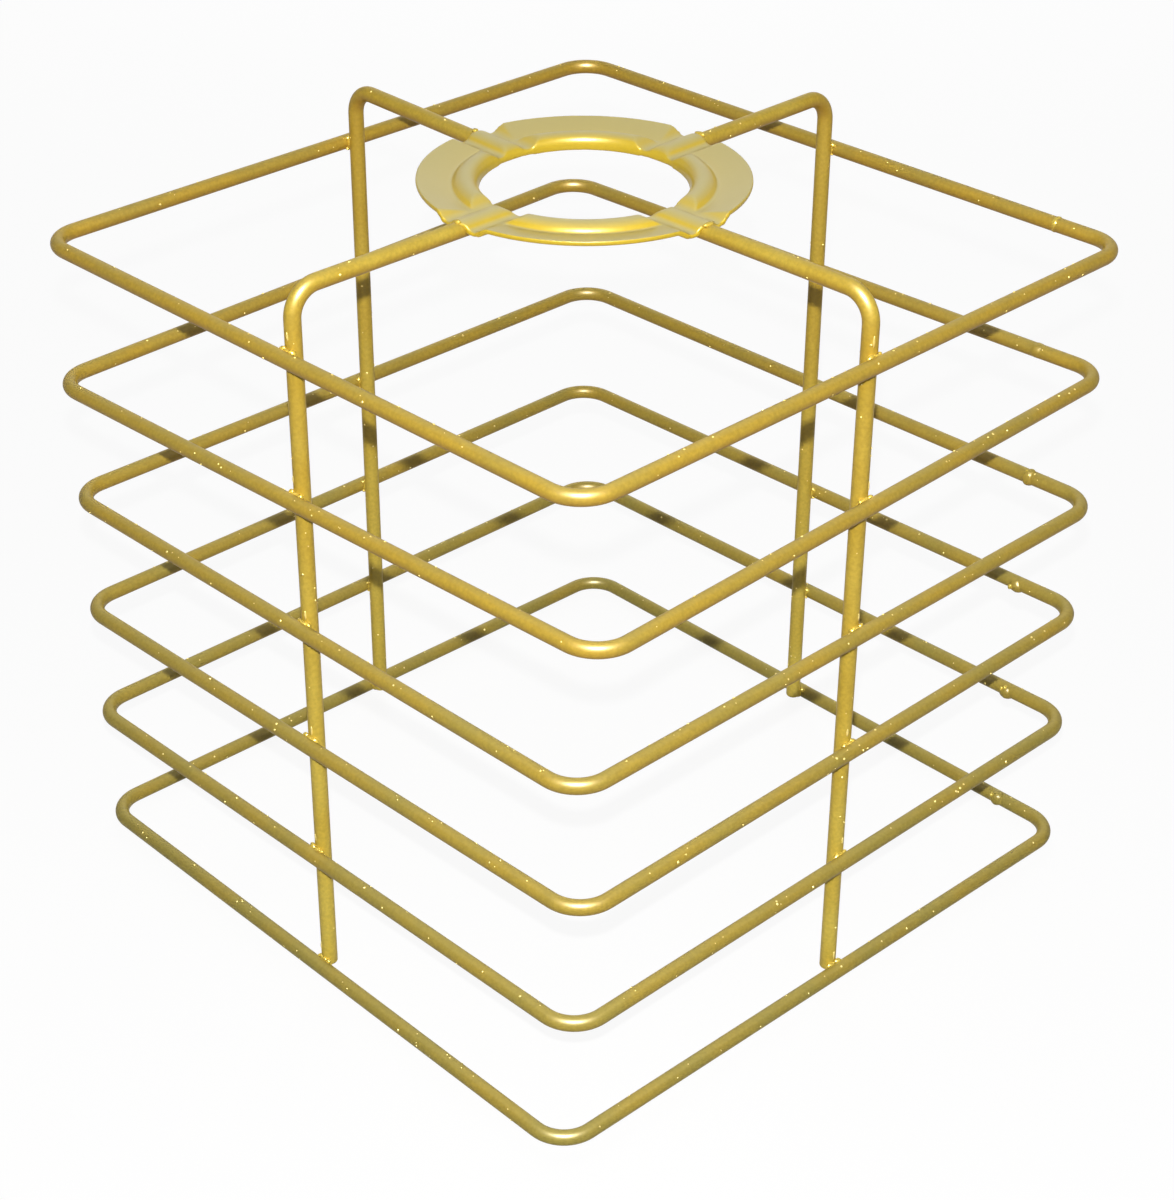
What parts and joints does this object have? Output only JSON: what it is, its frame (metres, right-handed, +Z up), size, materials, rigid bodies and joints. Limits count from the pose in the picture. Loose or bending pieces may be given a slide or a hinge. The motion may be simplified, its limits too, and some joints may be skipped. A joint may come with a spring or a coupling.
{
  "type": "wire lampshade",
  "caption": "Open cube-shaped wire lampshade: stacked rounded-square wire rings welded to bent uprights whose arms carry a pressed fitter washer for a lamp holder.",
  "frame": {"origin": "on the surface that the lowest ring stands on, under the centre of the lampshade", "axes": "+Z up along the fitter's hole, +X and +Y out through the middles of two sides, along the uprights' arms"},
  "size_m": [0.1546, 0.1546, 0.1519],
  "materials": {
    "gold_paint": "satin"
  },
  "bodies": {
    "root": {"ring_1": "gold_paint", "ring_2": "gold_paint", "ring_3": "gold_paint", "ring_4": "gold_paint", "ring_5": "gold_paint", "ring_6": "gold_paint", "upright_right": "gold_paint", "upright_back": "gold_paint", "upright_left": "gold_paint", "upright_front": "gold_paint", "fitter": "gold_paint"}
  },
  "joints": []
}
